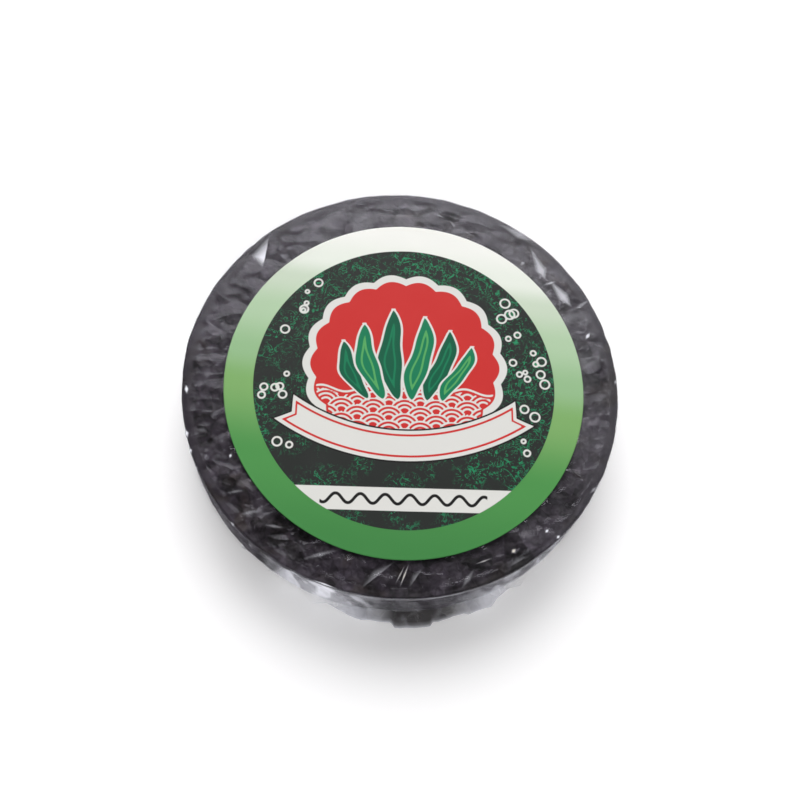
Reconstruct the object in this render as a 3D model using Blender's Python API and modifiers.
"""A round cake of pressed, dried purple laver in clear shrink film, with a round label on its face.

It lies on its back: +Z comes up out of the labelled face, +Y points to the label's top, and the
origin is under the middle of the pack, on the surface that it lies on. Lengths are in metres.
"""

import math

import bpy
import numpy as np

# The pack
PACK_RADIUS = 0.0900
PACK_HEIGHT = 0.0283          # to the film's face, under the label
GAP = 0.0003                  # between touching pieces

# The film
FILM = 0.0004                 # thicker than real film, so that it is a solid
FACE_RIM = 0.0016             # rounding where the film turns over the face's edge
BACK_RIM = 0.0050             # rounding where it turns under
WAIST = 0.0008                # how far the side is drawn in between the two rims
SIDE_FOLD = 0.0008            # depth of the slanting tension folds in the side
SIDE_FADE = 0.0050            # height over which they die out at either rim
BACK_FOLD = 0.0009            # depth of the pleats that run in under the back
BACK_FADE = 0.0160            # width over which they die out towards the middle
BACK_FLAT = 0.050             # radius of the flat on which the pack lies
VENT_RADIUS = 0.003           # the hole that lets the air out as the film shrinks
FILM_STEPS = 76
SIDE_RINGS = 6
BACK_RINGS = 5

# The welded seam round the film's lower edge
SEAM_HEIGHT = 0.0030
SEAM_THICKNESS = 0.0006
SEAM_WIDTH = 0.0022
SEAM_WAVE = 0.0009
SEAM_INNER = 0.0893           # radius at which it grows out of the film's wall
SEAM_CLEAR = 0.0015           # the folds in the side end this far above it
SEAM_STEPS = 132
# Left-over film: direction, how far it stands out, half its spread, and how blunt it is, from 1 for a
# pointed ear. Angles are in degrees.
EARS = ((249.0, 0.0062, 5.5, 1.0), (274.0, 0.0072, 7.0, 2.6), (291.0, 0.0046, 8.0, 1.6),
        (303.0, 0.0034, 4.5, 1.0), (338.0, 0.0050, 5.0, 1.0), (66.0, 0.0060, 5.5, 1.0),
        (94.0, 0.0072, 7.0, 2.6), (157.0, 0.0055, 5.0, 1.0))

# The laver
CAKE_RADIUS = PACK_RADIUS - FILM - GAP
CAKE_TOP = PACK_HEIGHT - FILM - GAP
CAKE_BOTTOM = FILM + GAP
CAKE_SHOULDER = 0.0022        # rounding of the cake's upper edge
CAKE_HEEL = 0.0070            # rounding of its lower edge
CAKE_RINGS = 8
HEEL_RISE = BACK_FOLD + 0.0004    # the cake's back is hollowed by this much towards its edge
HEEL_INNER = 0.0700           # radius at which it has risen so far
CAKE_FLAT = 0.0460            # radius of the flat of its back
CAKE_STEPS = 96
CAKE_CELL = 0.0015            # size of the even cells in which the relief is raised
CAKE_SHARE = 0.135            # share of those cells' triangles that the relief needs
RELIEF = 0.0028               # depth of the hollows between the pressed blades
BLADE_COUNT = 330
BLADE_LENGTH = (0.012, 0.026)     # half a blade's length, shortest and longest
BLADE_WIDTH = (0.0050, 0.0100)    # half its width
BLADE_EDGE = 0.72             # share of the way out at which a blade's edge starts to slope down
BLADE_SEED = 11

# The label
LABEL_RADIUS = 0.0735
LABEL_THICKNESS = 0.0004
LABEL_OFFSET = (0.0012, -0.0010)  # it was stuck on a little off the middle
LABEL_SIDES = 96


def clear_scene():
    for obj in list(bpy.data.objects):
        bpy.data.objects.remove(obj)


def material(name, colour, roughness, alpha=1.0):
    made = bpy.data.materials.new(name)
    made.use_nodes = True
    shader = made.node_tree.nodes["Principled BSDF"]
    shader.inputs["Base Color"].default_value = (*colour, 1.0)
    shader.inputs["Roughness"].default_value = roughness
    shader.inputs["Metallic"].default_value = 0.0
    shader.inputs["Alpha"].default_value = alpha
    return made


def arc(centre, radius, start, end, count):
    """Points along an arc in the (radius, height) plane, with its angles in degrees."""
    angles = np.radians(np.linspace(start, end, count))
    return [(centre[0] + radius * math.cos(a), centre[1] + radius * math.sin(a)) for a in angles]


def freeze(obj):
    """Replaces an object's mesh by the one that its modifiers make."""
    graph = bpy.context.evaluated_depsgraph_get()
    mesh = bpy.data.meshes.new_from_object(obj.evaluated_get(graph))
    obj.modifiers.clear()
    obj.data = mesh
    return obj


def turned(name, outline, steps, collection):
    """Spins an outline of (radius, height) points, which runs down its outer side, about Z."""
    mesh = bpy.data.meshes.new(name)
    edges = [(i, i + 1) for i in range(len(outline) - 1)]
    mesh.from_pydata([(radius, 0.0, height) for radius, height in outline], edges, [])
    obj = bpy.data.objects.new(name, mesh)
    collection.objects.link(obj)
    screw = obj.modifiers.new("Spin", "SCREW")
    screw.axis = "Z"
    screw.steps = steps
    screw.render_steps = steps
    screw.use_merge_vertices = True
    screw.merge_threshold = 0.00001
    return freeze(obj)


def points_of(mesh):
    flat = np.empty(len(mesh.vertices) * 3)
    mesh.vertices.foreach_get("co", flat)
    return flat.reshape(-1, 3)


def normals_of(mesh):
    flat = np.empty(len(mesh.vertices) * 3, np.float32)
    mesh.vertex_normals.foreach_get("vector", flat)
    return flat.reshape(-1, 3).astype(float)


def move_points(mesh, points):
    mesh.vertices.foreach_set("co", points.ravel())
    mesh.update()


def smooth_step(value, low, high):
    """0 below low, 1 above high, and a smooth rise between them."""
    share = np.clip((value - low) / (high - low), 0.0, 1.0)
    return share * share * (3.0 - 2.0 * share)


def waist_depth(height):
    """How far the side is drawn in at each height, most of all half way between the two rims."""
    share = np.clip((height - BACK_RIM) / (PACK_HEIGHT - FACE_RIM - BACK_RIM), 0.0, 1.0)
    return WAIST * np.sin(math.pi * share)


def fold_depth(height):
    """How deep the side's folds may be at each height. They die out at the face's rim and above the seam."""
    low, high = SEAM_HEIGHT + SEAM_CLEAR, PACK_HEIGHT - FACE_RIM
    above_seam = smooth_step(height, low, low + SIDE_FADE)
    return SIDE_FOLD * above_seam * smooth_step(-height, -high, -high + SIDE_FADE)


def film_outline():
    """The film's outer side, from the middle of the face, over both rims, to the vent in the back."""
    face = [(PACK_RADIUS * share, PACK_HEIGHT) for share in (0.0, 0.50, 0.84, 0.93)]
    upper = arc((PACK_RADIUS - FACE_RIM, PACK_HEIGHT - FACE_RIM), FACE_RIM, 90, 0, 4)
    lower = arc((PACK_RADIUS - BACK_RIM, BACK_RIM), BACK_RIM, 0, -90, 5)
    heights = np.linspace(upper[-1][1], lower[0][1], SIDE_RINGS + 1)[1:-1]
    side = [(PACK_RADIUS - waist_depth(height), height) for height in heights]
    back = [(radius, 0.0) for radius in np.linspace(PACK_RADIUS - BACK_RIM, BACK_FLAT, BACK_RINGS + 1)[1:]]
    return face + upper + side + lower + back + [(VENT_RADIUS, 0.0)]


def fold_film(mesh):
    """Slanting tension folds in the side and pleats under the back, all of them inwards."""
    points = points_of(mesh)
    radius = np.hypot(points[:, 0], points[:, 1])
    angle = np.arctan2(points[:, 1], points[:, 0])
    height = points[:, 2]
    slant = height / PACK_HEIGHT
    waves = np.sin(9 * angle + 5.0 * slant) + 0.8 * np.sin(14 * angle - 3.5 * slant + 1.3)
    on_side = radius > 0.98 * (PACK_RADIUS - WAIST)
    inwards = fold_depth(height) * on_side * smooth_step(waves, -1.0, 1.4)
    pleats = np.sin(12 * angle + 0.6) + 0.7 * np.sin(19 * angle + 2.1)
    heel = PACK_RADIUS - BACK_RIM
    under = smooth_step(radius, BACK_FLAT, BACK_FLAT + BACK_FADE)
    under = under * smooth_step(-radius, -heel, -heel + BACK_FADE / 2)
    upwards = BACK_FOLD * under * smooth_step(pleats, -0.6, 1.2) * (height < BACK_FOLD)
    points[:, :2] *= 1.0 - (inwards / np.maximum(radius, VENT_RADIUS))[:, None]
    points[:, 2] += upwards
    move_points(mesh, points)


def seam_radius(degrees):
    """The seam's outer edge: a narrow uneven weld, with ears and flaps of film that was left over."""
    angle = math.radians(degrees)
    width = SEAM_WIDTH + SEAM_WAVE * (0.6 * math.sin(8 * angle + 0.4) + 0.4 * math.sin(18 * angle + 2.0))
    for direction, reach, spread, blunt in EARS:
        away = abs((degrees - direction + 180.0) % 360.0 - 180.0)
        width = max(width, reach * min(1.0, blunt * (1.0 - away / spread)))
    return PACK_RADIUS + width


def build_seam(collection):
    """The weld as a flat ring whose outer edge is uneven."""
    curve = bpy.data.curves.new("seam", "CURVE")
    curve.dimensions = "2D"
    curve.fill_mode = "BOTH"
    curve.extrude = SEAM_THICKNESS / 2
    turns = [360.0 * i / SEAM_STEPS for i in range(SEAM_STEPS)]
    for radius_at in (seam_radius, lambda degrees: SEAM_INNER):
        spline = curve.splines.new("POLY")
        spline.points.add(SEAM_STEPS - 1)
        spline.use_cyclic_u = True
        for point, degrees in zip(spline.points, turns):
            angle, radius = math.radians(degrees), radius_at(degrees)
            point.co = (radius * math.cos(angle), radius * math.sin(angle), 0.0, 1.0)
    guide = bpy.data.objects.new("seam_outline", curve)
    guide.location.z = SEAM_HEIGHT
    collection.objects.link(guide)
    bpy.context.view_layer.update()
    graph = bpy.context.evaluated_depsgraph_get()
    mesh = bpy.data.meshes.new_from_object(guide.evaluated_get(graph))
    ring = bpy.data.objects.new("seam", mesh)
    ring.matrix_world = guide.matrix_world
    collection.objects.link(ring)
    bpy.data.objects.remove(guide)
    weld = ring.modifiers.new("Weld", "WELD")
    weld.merge_threshold = 0.00001
    return ring


def build_film(collection, helpers):
    """The shrink film: one thin shell round the whole cake, open at the vent, with its seam."""
    film = turned("film_wrap", film_outline(), FILM_STEPS, collection)
    fold_film(film.data)
    wall = film.modifiers.new("Thickness", "SOLIDIFY")
    wall.thickness = FILM
    wall.offset = -1.0
    seam = build_seam(helpers)
    seam.hide_render = True
    seam.display_type = "WIRE"
    join = film.modifiers.new("Seam", "BOOLEAN")
    join.operation = "UNION"
    join.object = seam
    film.data.shade_smooth()
    film.data.materials.append(material("clear_film", (0.90, 0.91, 0.92), 0.08, 0.22))
    return film


def cake_outline():
    """The drum that the laver was pressed into: a flat face, a round shoulder, a side drawn in as deep as
    the film's deepest folds, a rounder heel and a back that lies on its middle.
    """
    rise = CAKE_BOTTOM + HEEL_RISE
    face = [(0.0, CAKE_TOP)]
    shoulder = arc((CAKE_RADIUS - CAKE_SHOULDER, CAKE_TOP - CAKE_SHOULDER), CAKE_SHOULDER, 90, 0, 5)
    heights = np.linspace(shoulder[-1][1], rise + CAKE_HEEL, CAKE_RINGS + 1)[1:]
    side = [(CAKE_RADIUS - waist_depth(height) - fold_depth(height), height) for height in heights]
    heel = arc((side[-1][0] - CAKE_HEEL, rise + CAKE_HEEL), CAKE_HEEL, 0, -90, 7)
    back = [(HEEL_INNER, rise), (CAKE_FLAT, CAKE_BOTTOM), (0.0, CAKE_BOTTOM)]
    return face + shoulder + side + heel[1:] + back


def scatter_blades():
    """Places the pressed blades on the drum: a centre, two directions in the surface, and sizes for each."""
    draw = np.random.default_rng(BLADE_SEED)
    face_area = math.pi * CAKE_RADIUS ** 2
    side_area = 2 * math.pi * CAKE_RADIUS * (CAKE_TOP - CAKE_BOTTOM)
    share = draw.random(BLADE_COUNT) * (2 * face_area + side_area)
    turn = draw.random(BLADE_COUNT) * 2 * math.pi
    lie = draw.random(BLADE_COUNT) * math.pi
    out = draw.random(BLADE_COUNT)
    size = draw.random((BLADE_COUNT, 3))
    on_side = share > 2 * face_area
    on_top = share < face_area
    radius = np.where(on_side, CAKE_RADIUS, CAKE_RADIUS * np.sqrt(out))
    middle = (CAKE_TOP + CAKE_BOTTOM) / 2
    height = np.where(on_side, CAKE_BOTTOM + (CAKE_TOP - CAKE_BOTTOM) * out, middle)
    height = np.where(on_side, height, np.where(on_top, CAKE_TOP, CAKE_BOTTOM))
    centre = np.stack([radius * np.cos(turn), radius * np.sin(turn), height], 1)
    nothing = np.zeros(BLADE_COUNT)
    around = np.stack([-np.sin(turn), np.cos(turn), nothing], 1)
    outward = np.stack([np.cos(turn), np.sin(turn), nothing], 1)
    upward = np.tile((0.0, 0.0, 1.0), (BLADE_COUNT, 1))
    across = np.where(on_side[:, None], upward, outward)
    lie = np.where(on_side, (lie - math.pi / 2) * 0.35, lie)
    along = around * np.cos(lie)[:, None] + across * np.sin(lie)[:, None]
    aside = across * np.cos(lie)[:, None] - around * np.sin(lie)[:, None]
    length = BLADE_LENGTH[0] + (BLADE_LENGTH[1] - BLADE_LENGTH[0]) * size[:, 0]
    width = BLADE_WIDTH[0] + (BLADE_WIDTH[1] - BLADE_WIDTH[0]) * size[:, 1]
    return centre, along, aside, length, width, size[:, 2]


def blade_relief(points):
    """How high the top blade stands at each point, from 0 in the hollows to 1 on the highest.

    A blade is a thin plate with a waved edge, pressed down at one end and folded lengthwise, and
    where several lie over each other the highest one shows.
    """
    highest = np.zeros(len(points))
    for centre, along, aside, length, width, chance in zip(*scatter_blades()):
        off = points - centre
        u = off @ along / length
        v = off @ aside / width
        w = off @ np.cross(along, aside) / width
        turn = np.arctan2(v, u)
        ripple = 1.0 + 0.13 * np.sin(3 * turn + 9 * chance) + 0.09 * np.sin(7 * turn + 23 * chance)
        reach = np.sqrt(u * u + v * v + w * w) * ripple
        plate = smooth_step(-reach, -1.0, -BLADE_EDGE)
        fold = 0.80 + 0.12 * u + 0.20 * np.cos(3.6 * v + 1.6 * np.sin(2.2 * u) + 6 * chance)
        highest = np.maximum(highest, (0.40 + 0.60 * chance) * plate * fold)
    return np.clip(highest, 0.0, 1.0)


def build_cake(collection):
    """The laver: many blades pressed and dried into one body."""
    cake = turned("laver_cake", cake_outline(), CAKE_STEPS, collection)
    cells = cake.modifiers.new("Cells", "REMESH")
    cells.mode = "VOXEL"
    cells.voxel_size = CAKE_CELL
    freeze(cake)
    points, normals = points_of(cake.data), normals_of(cake.data)
    depth = RELIEF * (1.0 - blade_relief(points))
    move_points(cake.data, points - normals * depth[:, None])
    fewer = cake.modifiers.new("Fewer", "DECIMATE")
    fewer.ratio = CAKE_SHARE
    cake.data.materials.append(material("dried_laver", (0.028, 0.020, 0.028), 0.6))
    return cake


def build_label(collection):
    """The printed label, a thin disc on the film's face."""
    bottom = PACK_HEIGHT + GAP
    bpy.ops.mesh.primitive_cylinder_add(
        vertices=LABEL_SIDES, radius=LABEL_RADIUS, depth=LABEL_THICKNESS,
        location=(*LABEL_OFFSET, bottom + LABEL_THICKNESS / 2))
    label = bpy.context.object
    label.name = "label"
    label.data.name = "label"
    for holder in list(label.users_collection):
        holder.objects.unlink(label)
    collection.objects.link(label)
    label.data.materials.append(material("printed_paper", (0.070, 0.250, 0.075), 0.35))
    return label


def main():
    clear_scene()
    pack = bpy.data.collections.new("purple_laver")
    helpers = bpy.data.collections.new("helpers")
    bpy.context.scene.collection.children.link(pack)
    bpy.context.scene.collection.children.link(helpers)
    build_cake(pack)
    build_film(pack, helpers)
    build_label(pack)


main()
